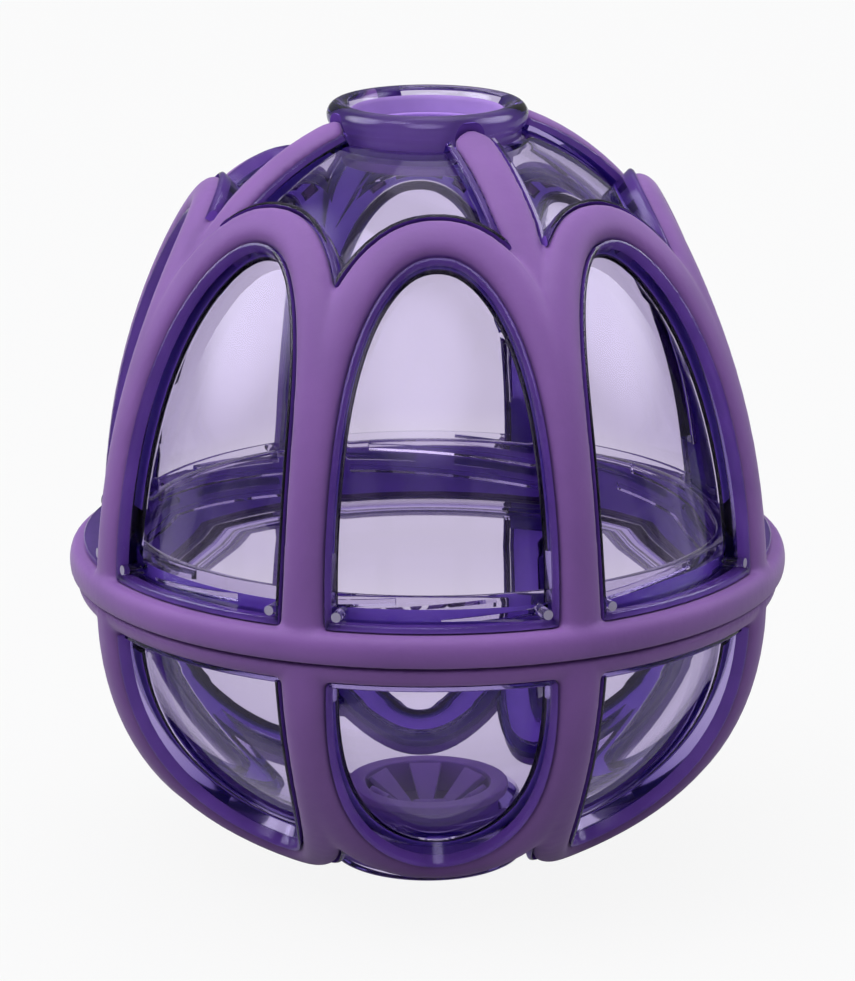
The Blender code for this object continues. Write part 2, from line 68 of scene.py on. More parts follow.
class EggHalf:
    """One half of the egg. Heights are counted from the seam towards its own end."""

    def __init__(self, name, way, reach, powers, arch_reach, arch_powers):
        self.name, self.way, self.reach = name, way, reach
        self.height_power, self.radius_power = powers
        self.arch_reach = arch_reach
        self.across_power, self.along_power = arch_powers

    def lean(self, height):
        """The crest's radius at a height, and its outward direction as (out, along)."""
        share = height / self.reach
        radius_share = (1 - share**self.height_power) ** (1 / self.radius_power)
        out = self.radius_power * radius_share ** (self.radius_power - 1) / SEAM_RADIUS
        along = self.height_power * share ** (self.height_power - 1) / self.reach
        length = math.hypot(out, along)
        return radius_share * SEAM_RADIUS, out / length, along / length

    def skin(self, height, depth):
        """The (radius, height) of a point at a depth under the crest."""
        radius, out, along = self.lean(height)
        return radius - depth * out, height - depth * along

    def height_at(self, radius, depth):
        """The crest height whose point at this depth has the given radius."""
        low, high = 0, self.reach
        for _ in range(50):
            middle = (low + high) / 2
            low, high = (middle, high) if self.skin(middle, depth)[0] > radius else (low, middle)
        return low

    def outline(self, depth, start, end, rows):
        """Points at one depth under the crest, closer together near the end."""
        first, last = (math.asin((h / self.reach) ** (self.height_power / 2)) for h in (start, end))
        heights = self.reach * np.sin(np.linspace(first, last, rows + 1)) ** (2 / self.height_power)
        return [self.skin(height, depth) for height in heights]

    def place(self, angle, radius, height):
        return Vector((radius * math.sin(angle), -radius * math.cos(angle), SEAM_Z + self.way * height))

    def arch(self, inset, start, shares):
        """The (angle, height) points of an arch drawn in by an inset, with its feet at -1 and 1."""
        reach = self.arch_reach - inset * self.lean(self.arch_reach)[1]
        last = math.acos((start / reach) ** (self.along_power / 2))
        points = []
        for share in shares:
            height = reach * math.cos(last * share) ** (2 / self.along_power)
            flare = LEG_FLARE * max(0, 1 - height / FLARE_HEIGHT) ** 2
            spread = BAY / 2 - (inset + flare) / self.lean(height)[0]
            across = spread * abs(math.sin(last * share)) ** (2 / self.across_power)
            points.append((math.copysign(across, share), height))
        return points

    def even_shares(self, pieces):
        """Shares from foot to foot that follow the arch evenly, closer together where it bends."""
        shares = np.linspace(-1, 1, ARCH_SAMPLES)
        points = np.array([self.place(a, *self.skin(h, 0)) for a, h in self.arch(0, 0, shares)])
        steps = np.diff(points, axis=0)
        lengths = np.linalg.norm(steps, axis=1)
        bends = np.linalg.norm(np.diff(steps / lengths[:, None], axis=0), axis=1)
        turning = (np.append(bends, 0) + np.insert(bends, 0, 0)) / 2
        measure = np.concatenate([[0], np.cumsum(lengths + BEND_WEIGHT * turning)])
        return np.interp(np.linspace(0, measure[-1], pieces + 1), measure, shares)


LOWER = EggHalf("lower", -1, 0.0515, (2.25, 2.0), 0.044, (2.2, 5.5))


def rounded(corners, radii, rows=4):
    """An outline whose corners are rounded, each by its own radius. Zero leaves a corner sharp."""
    points = []
    for i, radius in enumerate(radii):
        corner, before, after = (np.array(corners[j % len(corners)], float) for j in (i, i - 1, i + 1))
        if not radius:
            points.append(tuple(corner))
            continue
        back, ahead = before - corner, after - corner
        cut = min(radius, 0.48 * np.linalg.norm(back), 0.48 * np.linalg.norm(ahead))
        start = corner + back / np.linalg.norm(back) * cut
        end = corner + ahead / np.linalg.norm(ahead) * cut
        for share in np.linspace(0, 1, rows + 1):
            bend = (1 - share) ** 2 * start + 2 * share * (1 - share) * corner + share**2 * end
            points.append(tuple(bend))
    return points


def as_piece(name, bm):
    """A finished bmesh as an object, with its doubles merged and its faces turned outwards."""
    bmesh.ops.remove_doubles(bm, verts=bm.verts, dist=MERGE)
    bmesh.ops.recalc_face_normals(bm, faces=bm.faces)
    mesh = bpy.data.meshes.new(name)
    bm.to_mesh(mesh)
    bm.free()
    piece = bpy.data.objects.new(name, mesh)
    bpy.context.scene.collection.objects.link(piece)
    return piece


def turned(name, half, outline, sides=96):
    """A closed outline of (radius, height) points spun about the egg's axis."""
    bm = bmesh.new()
    across, back = math.cos(math.pi / sides), math.sin(math.pi / sides)
    ring = [bm.verts.new((r * across, r * back, SEAM_Z + half.way * h)) for r, h in outline]
    edges = [bm.edges.new((ring[i - 1], ring[i])) for i in range(len(ring))]
    bmesh.ops.spin(bm, geom=ring + edges, axis=(0, 0, 1), angle=2 * math.pi, steps=sides, use_merge=True)
    return as_piece(name, bm)


def swept(rings):
    """A closed solid through rings of points, each extruded from the one before."""
    bm = bmesh.new()
    face = bm.faces.new([bm.verts.new(point) for point in rings[0]])
    for ring in rings[1:]:
        face = bmesh.ops.extrude_discrete_faces(bm, faces=[face])["faces"][0]
        for vertex, point in zip(face.verts, ring):
            vertex.co = point
    bmesh.ops.holes_fill(bm, edges=[edge for edge in bm.edges if edge.is_boundary])
    bmesh.ops.recalc_face_normals(bm, faces=bm.faces)
    return bm


def repeated(bm, copies):
    """Copies spun evenly about the egg's axis."""
    steps = copies - 1
    turn = 2 * math.pi / copies * steps
    parts = bm.verts[:] + bm.edges[:] + bm.faces[:]
    bmesh.ops.spin(bm, geom=parts, axis=(0, 0, 1), angle=turn, steps=steps, use_duplicate=True)
    bmesh.ops.remove_doubles(bm, verts=bm.verts, dist=SPIN_MERGE)
    return bm


def drawn(half, section, start, shares):
    """The lines along an arch of each (inset, depth) point of a section."""
    return [
        [half.place(a, *half.skin(h, depth)) for a, h in half.arch(inset, start, shares)]
        for inset, depth in section
    ]


def arcade(name, half, section, start):
    """Eight arches with one section of (inset, depth) points. One bay is cut square and repeated."""
    bm = swept(list(zip(*drawn(half, section, start, half.even_shares(ARCH_PIECES)))))
    for way in (-1, 1):
        square = (way * math.cos(way * BAY / 2), way * math.sin(way * BAY / 2), 0)
        parts = bm.verts[:] + bm.edges[:] + bm.faces[:]
        bmesh.ops.bisect_plane(
            bm, geom=parts, dist=MERGE, plane_co=(0, 0, 0), plane_no=square, clear_outer=True
        )
    return as_piece(name, repeated(bm, BAYS))


def worked(piece, tool, operation):
    """Join or cut a piece with another shape, which is used up."""
    change = piece.modifiers.new(operation, "BOOLEAN")
    change.object, change.operation, change.solver = tool, operation, "MANIFOLD"
    solid = bpy.data.meshes.new_from_object(piece.evaluated_get(bpy.context.evaluated_depsgraph_get()))
    piece.modifiers.clear()
    piece.data = solid
    bpy.data.objects.remove(tool)
    return piece


# Kinds of face. The bonded faces show the rubber's colour brightened as painted light, the seats' sides show
# it darkened as painted shade, and the bore's lining shows it lightened as painted light.
FACE_KINDS = 6
CLEAR_FACE, RUBBER_PAINTED_LIT_FACE, SEAT_SIDE_PAINTED_SHADE_FACE, FROSTED_FACE, LINED_PAINTED_LIT_FACE, SATIN_FACE = range(FACE_KINDS)
EGG_MIDDLE, NEAR = 0.01, 0.0002
FLOOR_FACING, SIDE_FACING, UPRIGHT = 0.6, 0.55, 0.3
CREASE = 32


def marked(piece, face_kind):
    """Give a piece all the kinds of face that the shells have, with every face of one kind to begin with."""
    for _ in range(FACE_KINDS):
        piece.data.materials.append(None)
    piece.data.polygons.foreach_set("material_index", [face_kind] * len(piece.data.polygons))
    return piece


def smooth_but_edges(piece, degrees):
    piece.data.shade_smooth()
    piece.data.set_sharp_from_angle(angle=math.radians(degrees))


def boss(half, foot_radius):
    """How far from the seam the flat face lies that an outlet's flange rests on."""
    return half.skin(half.height_at(foot_radius, PANE_DEPTH), PANE_DEPTH)[1] - BOSS_WALL


def inside(half, start, face, rows):
    """The inside of a shell from a crest height to the boss round its bore."""
    edge = BORE_RADIUS + BOSS_WIDTH
    end = half.height_at(edge + COLLAR_FOOT, PANE_DEPTH + PANE_WALL)
    return half.outline(PANE_DEPTH + PANE_WALL, start, end, rows) + [(edge, face), (BORE_RADIUS, face)]


def outward(face):
    """How far a face of a shell looks outwards: one for straight out, minus one for straight in."""
    return face.normal.dot((face.center - Vector((0, 0, SEAM_Z + EGG_MIDDLE))).normalized())


def floors_backed_painted_lit(shell):
    """Of the hollows behind the bands, only the floors are backed with rubber and take its colour brightened
    as painted light. Their sides stay clear.
    """
    for face in shell.data.polygons:
        if face.material_index == RUBBER_PAINTED_LIT_FACE and outward(face) > -FLOOR_FACING:
            face.material_index = CLEAR_FACE


def banded(shell, half, band_start, channel_start):
    """Raise the bands with a rounded lip and a filleted foot, and hollow them from inside."""
    side = RIB_WIDTH / 2 + GAP + LIP_WIDTH
    corners = [(-side - BAND_FOOT, PANE_DEPTH + PANE_WALL / 2), (-side, PANE_DEPTH), (-side, LIP_DEPTH)]
    corners += [(-x, y) for x, y in corners[::-1]]
    section = rounded(corners, (0, BAND_FILLET, LIP_ROUND, LIP_ROUND, BAND_FILLET, 0))
    worked(shell, marked(arcade(half.name + "_bands", half, section, band_start), SATIN_FACE), "UNION")
    side -= CHANNEL_WALL
    corners = [(-side, PANE_DEPTH + PANE_WALL + CUT_PAST), (-side, RIB_DEPTH + GAP + SEAT_FLOOR)]
    corners += [(-x, y) for x, y in corners[::-1]]
    section = rounded(corners, (0, CHANNEL_ROUND, CHANNEL_ROUND, 0))
    channels = marked(arcade(half.name + "_channels", half, section, channel_start), RUBBER_PAINTED_LIT_FACE)
    worked(shell, channels, "DIFFERENCE")
    floors_backed_painted_lit(shell)


def seated(shell, half, ring_height):
    """Cut the seats that the rubber fills. Their faces are bonded to it and show its colour, brightened and
    blued as painted light.
    """
    side = RIB_WIDTH / 2 + GAP
    corners = [(-side, RIB_DEPTH + GAP), (-side, -CUT_PAST), (side, -CUT_PAST), (side, RIB_DEPTH + GAP)]
    worked(shell, marked(arcade(half.name + "_seats", half, corners, 0), RUBBER_PAINTED_LIT_FACE), "DIFFERENCE")
    end = ring_height + GAP
    corners = [(SEAT_RADIUS, -CUT_PAST), (CUT_RADIUS, -CUT_PAST), (CUT_RADIUS, end), (SEAT_RADIUS, end)]
    worked(shell, marked(turned("ring_seat", half, corners), RUBBER_PAINTED_LIT_FACE), "DIFFERENCE")


def with_painted_sides_and_lining(shell):
    """Give the seats' sides painted shade, darker than their painted-lit floors, and give the bore, where
    rubber lines it, the rubber's colour lightened as painted light.
    """
    for face in shell.data.polygons:
        reach = math.hypot(face.center.x, face.center.y)
        if abs(reach - BORE_RADIUS) < NEAR and abs(face.normal.z) < UPRIGHT:
            face.material_index = LINED_PAINTED_LIT_FACE
        elif face.material_index == RUBBER_PAINTED_LIT_FACE and -FLOOR_FACING < outward(face) < SIDE_FACING:
            face.material_index = SEAT_SIDE_PAINTED_SHADE_FACE


rows = 22
lip_top = LOWER_RING_HEIGHT + GAP + RING_LIP
lip_radius = SEAM_RADIUS - RING_INSET - LOWER_RING_TAPER - LIP_DEPTH / 2
neck_inner = NECK_RADIUS - NECK_WALL
inner_start = lip_top + NECK_WALL
pane_end = LOWER.height_at(BASE_RADIUS + COLLAR_FOOT, PANE_DEPTH)
LOWER_BOSS = boss(LOWER, BASE_RADIUS + COLLAR_FOOT)
neck = [(neck_inner, -NECK_HEIGHT), (NECK_RADIUS, -NECK_HEIGHT), (NECK_RADIUS, LEDGE_DROP)]
neck += [(lip_radius, LEDGE_DROP), (lip_radius, lip_top)]
outline = rounded(neck, (0.0008, 0.0006, 0.0004, 0, 0.0003))
outline += LOWER.outline(PANE_DEPTH, lip_top, pane_end, rows)
ring = [(BASE_RADIUS, pane_end - PANE_DEPTH + COLLAR_FOOT), (BASE_RADIUS, SEAM_Z), (BORE_RADIUS, SEAM_Z)]
outline += rounded(ring + [(BORE_RADIUS, LOWER_BOSS)], (0.0004, 0.0013, 0.0007, 0))[:-1]
outline += inside(LOWER, inner_start, LOWER_BOSS, rows)[::-1]
outline += [(neck_inner, LEDGE_DROP)]
lower_shell = marked(turned("lower_clear_shell", LOWER, outline), CLEAR_FACE)
banded(lower_shell, LOWER, lip_top - RING_LIP / 2, inner_start + CHANNEL_WALL)
seated(lower_shell, LOWER, LOWER_RING_HEIGHT)

# The neck's screw thread has six starts of 24 mm lead, broken into short ridges with abrupt ends.
THREAD_LEAD, THREAD_STARTS = 0.024, 6
RIDGE_HEIGHT, RIDGE_LAP, RIDGE_FOOT, RIDGE_TIP = 0.00095, 0.0004, 0.0008, 0.00035
RIDGE_STEPS = 12
NECK_SPANS, NECK_THREAD_START = ((0, 44), (52, 100)), 0.0013


def added(bm, part):
    """Move a part into a larger bmesh."""
    mesh = bpy.data.meshes.new("part")
    part.to_mesh(mesh)
    part.free()
    bm.from_mesh(mesh)
    bpy.data.meshes.remove(mesh)


def ridges(name, foot_radius, height, spans, above_seam):
    """Helical ridges over each span of degrees, once for each start. A negative height points inwards."""
    bm = bmesh.new()
    lap = -RIDGE_LAP * math.copysign(1, height)
    section = [(lap, -RIDGE_FOOT), (height, -RIDGE_TIP), (height, RIDGE_TIP), (lap, RIDGE_FOOT)]
    for start in range(THREAD_STARTS):
        begin = start * 2 * math.pi / THREAD_STARTS
        for first, last in spans:
            rings = []
            for turn in np.radians(np.arange(first, last + 1e-6, (last - first) / RIDGE_STEPS)) + begin:
                z = SEAM_Z + above_seam + THREAD_LEAD * (turn - begin) / (2 * math.pi)
                rings.append([
                    ((foot_radius + r) * math.cos(turn), (foot_radius + r) * math.sin(turn), z + dz)
                    for r, dz in section
                ])
            added(bm, swept(rings))
    return as_piece(name, bm)


thread = ridges("neck_thread", NECK_RADIUS, RIDGE_HEIGHT, NECK_SPANS, NECK_THREAD_START)
worked(lower_shell, thread, "UNION")
smooth_but_edges(lower_shell, CREASE)
with_painted_sides_and_lining(lower_shell)

# The plastic is glossy, faintly rippled by the mould, and darker purple the further light travels in it.
PLASTIC_TINT, PLASTIC_GLEAM = (0.99, 0.98, 0.96, 1), (0.72, 0.64, 0.95, 1)
PLASTIC_IOR = 1.34
PLASTIC_DEPTH, PLASTIC_DENSITY = (0.216, 0.06, 0.60, 1), 150


def node(tree, kind, **sockets):
    """A shader node with its sockets set by name."""
    made = tree.nodes.new(kind)
    for name, value in sockets.items():
        made.inputs[name.replace("_", " ")].default_value = value
    return made


def clear_plastic(name, tint, gloss, clearness):
    """Tinted plastic whose roughness drifts between two values of gloss."""
    material = bpy.data.materials.new(name)
    material.use_nodes = True
    tree = material.node_tree
    shader = tree.nodes["Principled BSDF"]
    shader.inputs["Base Color"].default_value = tint
    shader.inputs["Specular Tint"].default_value = PLASTIC_GLEAM
    shader.inputs["Transmission Weight"].default_value = clearness
    shader.inputs["IOR"].default_value = PLASTIC_IOR
    place = tree.nodes.new("ShaderNodeTexCoord")
    haze = node(tree, "ShaderNodeTexNoise", Scale=50, Detail=3)
    level = node(tree, "ShaderNodeMapRange", From_Min=0.35, From_Max=0.75, To_Min=gloss[0], To_Max=gloss[1])
    ripple = node(tree, "ShaderNodeTexNoise", Scale=28, Detail=1)
    bump = node(tree, "ShaderNodeBump", Strength=0.15, Distance=0.0003)
    tree.links.new(place.outputs["Object"], haze.inputs["Vector"])
    tree.links.new(place.outputs["Object"], ripple.inputs["Vector"])
    tree.links.new(haze.outputs["Fac"], level.inputs["Value"])
    tree.links.new(level.outputs["Result"], shader.inputs["Roughness"])
    tree.links.new(ripple.outputs["Fac"], bump.inputs["Height"])
    tree.links.new(bump.outputs["Normal"], shader.inputs["Normal"])
    depth = node(tree, "ShaderNodeVolumeAbsorption", Color=PLASTIC_DEPTH, Density=PLASTIC_DENSITY)
    tree.links.new(depth.outputs["Volume"], tree.nodes["Material Output"].inputs["Volume"])
    return material


def clouded(tree, shader, scale, detail, span, dark, light):
    """Let a surface's colour drift between two tones."""
    place = tree.nodes.new("ShaderNodeTexCoord")
    cloud = node(tree, "ShaderNodeTexNoise", Scale=scale, Detail=detail)
    tint = tree.nodes.new("ShaderNodeValToRGB")
    tint.color_ramp.elements[0].position, tint.color_ramp.elements[1].position = span
    tint.color_ramp.elements[0].color = dark
    tint.color_ramp.elements[1].color = light
    tree.links.new(place.outputs["Object"], cloud.inputs["Vector"])
    tree.links.new(cloud.outputs["Fac"], tint.inputs["Fac"])
    tree.links.new(tint.outputs["Color"], shader.inputs["Base Color"])
    return place


def bonded_seat_painted_light(name, dark, light):
    """A seat's face with rubber moulded onto it, as it looks through the plastic: flat and dull, with the
    light and shade on the rubber painted into its colour.
    """
    material = bpy.data.materials.new(name)
    material.use_nodes = True
    shader = material.node_tree.nodes["Principled BSDF"]
    shader.inputs["Roughness"].default_value = 0.8
    shader.inputs["Specular IOR Level"].default_value = 0.1
    clouded(material.node_tree, shader, 120, 3, (0.3, 0.75), dark, light)
    return material


shell_finishes = {
    CLEAR_FACE: clear_plastic("clear_purple_plastic", PLASTIC_TINT, (0.012, 0.03), 1),
    # The seat floors show the rubber's colour painted far brighter and bluer: painted light on rubber seen
    # through the plastic.
    RUBBER_PAINTED_LIT_FACE: bonded_seat_painted_light("seat_floor_painted_lit", (0.30, 0.16, 0.86, 1), (0.38, 0.2, 0.96, 1)),
    # The seats' sides are painted darker than the floors: painted shade.
    SEAT_SIDE_PAINTED_SHADE_FACE: bonded_seat_painted_light("seat_side_painted_shade", (0.13, 0.055, 0.36, 1), (0.19, 0.08, 0.48, 1)),
    FROSTED_FACE: clear_plastic("frosted_purple_plastic", (0.55, 0.5, 0.66, 1), (0.35, 0.6), 0.5),
    # The bore's lining is painted lighter than the rubber: painted light on the outlet's rubber seen through
    # the bore.
    LINED_PAINTED_LIT_FACE: bonded_seat_painted_light("bore_lining_painted_lit", (0.38, 0.24, 0.60, 1), (0.46, 0.30, 0.70, 1)),
    SATIN_FACE: clear_plastic("satin_purple_plastic", PLASTIC_TINT, (0.12, 0.2), 1),
}
for kind, finish in shell_finishes.items():
    lower_shell.data.materials[kind] = finish
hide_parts("lower_shell")
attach(lower_shell, "lower_half")


# Upper clear shell: a dome of the same plastic with eight arched windows, their bands, and four more bands
# that run up to the collar. A glossy bead rims the outlet, and a skirt hangs inside the seam, whose thread
# runs between the neck's ridges, so half a turn lifts the dome by 12 mm.
UPPER_RING_HEIGHT = 0.0052
THREAD_ROOM, NECK_ROOM, SKIRT_WALL, SKIRT_DROP = 0.0015, 0.0006, 0.0024, 0.0025
# The first two bound a band of the skirt's inner face that takes the seat floors' rubber colour with painted
# light, though the rubber ring lies well behind it.
PAINTED_BACKING_LOW, PAINTED_BACKING_HIGH, SKIRT_UPRIGHT = -0.001, 0.0076, 0.1
BEAD_RADIUS, BEAD_WIDTH, BEAD_TOP, BEAD_HEIGHT = 0.0165, 0.0042, 0.078882, 0.0044
GROOVE_DEPTH, GROOVE_HEIGHT = 0.0011, 0.0012
SPOKES = 4
SPOKE_WIDTH, SPOKE_DEPTH, SPOKE_SINK, SPOKE_END_SINK, SPOKE_LAP = 0.0068, 0.0021, 0.0014, 0.0027, 0.0006
SPOKE_FOOT, SPOKE_LEAD, SPOKE_ROWS = 0.0532, 0.0014, 13
SPOKE_PINCH, PINCH_SHARE, PINCH_CURVE = 0.75, 0.42, 1.3
SPOKE_BAND_ROUND, SPOKE_CHANNEL_ROUND = 0.0004, 0.0005
PEG_PITCH, PEG_LENGTH, PEG_WIDTH, PEG_END, PEG_LAP = 0.0058, 0.0029, 0.0026, 0.0056, 0.0004
PIP_RADIUS, PIP_DEPTH, PIP_RISE, PIP_INSET = 0.0008, 0.0014, 0.0012, 0.0013
SKIRT_SPANS, SKIRT_THREAD_START = ((0, 22), (30, 52), (60, 82)), 0.0033
UPPER = EggHalf("upper", 1, 0.0825, (2.1, 2.05), 0.0647, (2.2, 6.5))


def spoke_set(name, section_at, half_width, foot, end_radius, round_end):
    """Four bars up the dome, over every second notch. section_at gives a section for a half width."""
    end = UPPER.height_at(end_radius, SPOKE_END_SINK)
    shares, widths = list(np.linspace(0, 1, SPOKE_ROWS)), [half_width] * SPOKE_ROWS
    if round_end:
        reach = math.hypot(UPPER.skin(foot, 0)[0] - end_radius, end - foot)
        turns = np.linspace(0, math.pi / 2, 9)[:-1]
        shares = shares[:-1] + [1 - half_width * (1 - math.sin(turn)) / reach for turn in turns]
        widths = widths[:-1] + [half_width * math.cos(turn) for turn in turns]
    pinches = [SPOKE_PINCH * max(0, 1 - share / PINCH_SHARE) ** PINCH_CURVE for share in shares]
    widths = [width * (1 - pinch) for width, pinch in zip(widths, pinches)]
    first, last = (math.asin((h / UPPER.reach) ** (UPPER.height_power / 2)) for h in (foot, end))
    slopes = [math.sin(first + (last - first) * share) for share in shares]
    heights = [UPPER.reach * slope ** (2 / UPPER.height_power) for slope in slopes]
    crest = [
        UPPER.place(BAY / 2, *UPPER.skin(h, SPOKE_SINK + (SPOKE_END_SINK - SPOKE_SINK) * share))
        for h, share in zip(heights, shares)
    ]
    rings = []
    for i, (height, width) in enumerate(zip(heights, widths)):
        ahead = crest[min(i + 1, len(crest) - 1)] - crest[max(i - 1, 0)]
        _, out, along = UPPER.lean(height)
        normal = Vector((out * math.sin(BAY / 2), -out * math.cos(BAY / 2), along))
        side = ahead.cross(normal).normalized()
        rings.append([crest[i] + side * x - normal * depth for x, depth in section_at(width)])
    return as_piece(name, repeated(swept(rings), SPOKES))


def bar(top, bottom, radius):
    """A section with both upper corners rounded, for any half width."""
    def section_at(width):
        corners = [(-width, bottom), (-width, top), (width, top), (width, bottom)]
        return rounded(corners, (0, min(radius, width), min(radius, width), 0)) if radius else corners
    return section_at


def pegs(name, half, grow=0):
    """Four rubber pegs through the seat floor round the top of each arch."""
    shares = np.linspace(-1, 1, ARCH_SAMPLES)
    points = np.array([half.place(a, *half.skin(h, RIB_DEPTH)) for a, h in half.arch(0, 0, shares)])
    run = np.concatenate([[0], np.cumsum(np.linalg.norm(np.diff(points, axis=0), axis=1))])
    wide, reach = PEG_WIDTH / 2 + grow, PEG_LENGTH / 2 + grow
    root, end = RIB_DEPTH - PEG_LAP, PEG_END + grow
    section = [(-wide, end), (-wide, root), (wide, root), (wide, end)]
    bm = bmesh.new()
    for step in (-1.5, -0.5, 0.5, 1.5):
        middle = run[-1] / 2 + step * PEG_PITCH
        spans = np.interp(np.linspace(middle - reach, middle + reach, 5), run, shares)
        added(bm, swept(list(zip(*drawn(half, section, 0, spans)))))
    return as_piece(name, repeated(bm, BAYS))


rows = 30
lip_top = UPPER_RING_HEIGHT + GAP + RING_LIP
skirt_radius = NECK_RADIUS + THREAD_ROOM
skirt_outer = skirt_radius + SKIRT_WALL
UPPER_BOSS = boss(UPPER, BEAD_RADIUS + COLLAR_FOOT)
pane_end = UPPER.height_at(BEAD_RADIUS + COLLAR_FOOT, PANE_DEPTH)
outline = [
    (BEAD_RADIUS - BEAD_WIDTH / 2 * (1 - math.cos(t)), BEAD_TOP - BEAD_HEIGHT / 2 * (1 - math.sin(t)))
    for t in np.linspace(math.pi, -math.pi / 4, 21)
]
groove = BEAD_RADIUS - GROOVE_DEPTH
outline += [(groove, BEAD_TOP - BEAD_HEIGHT), (groove, BEAD_TOP - BEAD_HEIGHT - GROOVE_HEIGHT)]
outline += UPPER.outline(PANE_DEPTH, lip_top, pane_end, rows)[::-1]
lip_radius = UPPER.skin(lip_top, LIP_DEPTH)[0]
skirt = [(lip_radius, lip_top), (lip_radius, GAP / 2), (skirt_outer, GAP / 2)]
skirt += [(skirt_outer, -SKIRT_DROP), (skirt_radius, -SKIRT_DROP), (skirt_radius, PAINTED_BACKING_LOW)]
skirt += [(skirt_radius, PAINTED_BACKING_HIGH), (skirt_radius, NECK_HEIGHT + GAP + NECK_ROOM)]
outline += rounded(skirt, (0.0003, 0, 0, 0.0003, 0.0003, 0, 0, 0.0005))
inner_start = UPPER.height_at(skirt_radius - COLLAR_FOOT, PANE_DEPTH + PANE_WALL)
outline += inside(UPPER, inner_start, UPPER_BOSS, rows)
upper_shell = marked(turned("upper_clear_shell", UPPER, outline), CLEAR_FACE)
banded(upper_shell, UPPER, lip_top - RING_LIP / 2, inner_start + CHANNEL_WALL)

half_band = SPOKE_WIDTH / 2 + GAP + LIP_WIDTH
band = bar(LIP_DEPTH, PANE_DEPTH + PANE_WALL / 4 - SPOKE_SINK, SPOKE_BAND_ROUND)
bands = spoke_set("spoke_bands", band, half_band, SPOKE_FOOT, BEAD_RADIUS + COLLAR_FOOT, False)
worked(upper_shell, bands, "UNION")
hollow_end = PANE_DEPTH + PANE_WALL + CUT_PAST - SPOKE_SINK
hollow = bar(SPOKE_DEPTH + GAP + SEAT_FLOOR, hollow_end, SPOKE_CHANNEL_ROUND)
channel_foot, channel_end = SPOKE_FOOT - 2 * SPOKE_LEAD, BORE_RADIUS + 2 * BOSS_WIDTH
channels = spoke_set("spoke_channels", hollow, half_band - CHANNEL_WALL, channel_foot, channel_end, False)
worked(upper_shell, marked(channels, RUBBER_PAINTED_LIT_FACE), "DIFFERENCE")
floors_backed_painted_lit(upper_shell)
seated(upper_shell, UPPER, UPPER_RING_HEIGHT)
worked(upper_shell, marked(pegs("peg_holes", UPPER, GAP), RUBBER_PAINTED_LIT_FACE), "DIFFERENCE")
seat = bar(-CUT_PAST, SPOKE_DEPTH + GAP, 0)
seat_foot, seat_end = SPOKE_FOOT - SPOKE_LEAD, BEAD_RADIUS - SPOKE_LAP - GAP
seats = spoke_set("spoke_seats", seat, SPOKE_WIDTH / 2 + GAP, seat_foot, seat_end, True)
worked(upper_shell, marked(seats, RUBBER_PAINTED_LIT_FACE), "DIFFERENCE")

bm = bmesh.new()
pip_turn = BAY / 2 - (RIB_WIDTH / 2 + GAP + LIP_WIDTH + PIP_INSET) / SEAM_RADIUS
for bay in range(BAYS):
    for way in (-1, 1):
        end, foot = (
            UPPER.place(bay * BAY + way * pip_turn, *UPPER.skin(lip_top + PIP_RISE, depth))
            for depth in (PIP_DEPTH, PANE_DEPTH + PANE_WALL / 2)
        )
        turn = (end - foot).to_track_quat("Z", "Y").to_matrix().to_4x4()
        bmesh.ops.create_cone(
            bm, cap_ends=True, segments=16, radius1=PIP_RADIUS * 1.2, radius2=PIP_RADIUS,
            depth=(end - foot).length, matrix=Matrix.Translation((end + foot) / 2) @ turn,
        )
worked(upper_shell, marked(as_piece("corner_pips", bm), CLEAR_FACE), "UNION")
thread = ridges("skirt_thread", skirt_radius, -RIDGE_HEIGHT, SKIRT_SPANS, SKIRT_THREAD_START)
worked(upper_shell, thread, "UNION")
smooth_but_edges(upper_shell, CREASE)
with_painted_sides_and_lining(upper_shell)
for face in upper_shell.data.polygons:
    reach, rise = math.hypot(face.center.x, face.center.y), face.center.z - SEAM_Z
    if abs(reach - skirt_radius) < NEAR and abs(face.normal.z) < SKIRT_UPRIGHT:
        # This band of the skirt's inner face is painted in the rubber's colour with painted light.
        if PAINTED_BACKING_LOW < rise < PAINTED_BACKING_HIGH and face.material_index == CLEAR_FACE:
            face.material_index = RUBBER_PAINTED_LIT_FACE
    skirt_end = rise < NEAR - SKIRT_DROP
    pip_end = face.area < 3e-6 and len(face.vertices) == 16
    if skirt_end or pip_end:
        face.material_index = FROSTED_FACE
for kind, finish in shell_finishes.items():
    upper_shell.data.materials[kind] = finish
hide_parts("upper_shell")
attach(upper_shell, "upper_half")


# Lower rubber bumper: soft lilac rubber moulded over the bands as one cage. It has eight loops with full
# round crowns, and a tapered ring that laps over the ledge round the neck.
CROWN_HEIGHT, CROWN_POWER = 0.0021, 0.9
LOWER_VOXEL, EASE_ROUNDS, RING_SIDES = 0.00055, 3, 144


def softened(piece, voxel, rounds):
    """Blend the joints of a rubber moulding into fillets, as a mould's radii do."""
    remesh = piece.modifiers.new("skin", "REMESH")
    remesh.mode, remesh.voxel_size = "VOXEL", voxel
    ease = piece.modifiers.new("ease", "SMOOTH")
    ease.factor, ease.iterations = 0.5, rounds
    solid = bpy.data.meshes.new_from_object(piece.evaluated_get(bpy.context.evaluated_depsgraph_get()))
    piece.modifiers.clear()
    piece.data = solid
    piece.data.shade_smooth()
    return piece


def crowned(side, bottom, shoulder):
    """A rib's section: short straight sides under a full round crown."""
    turns = np.linspace(math.pi, 0, 17)
    crown = [(side * math.cos(t), shoulder * (1 - math.sin(t) ** CROWN_POWER)) for t in turns]
    return [(-side, bottom)] + crown + [(side, bottom)]


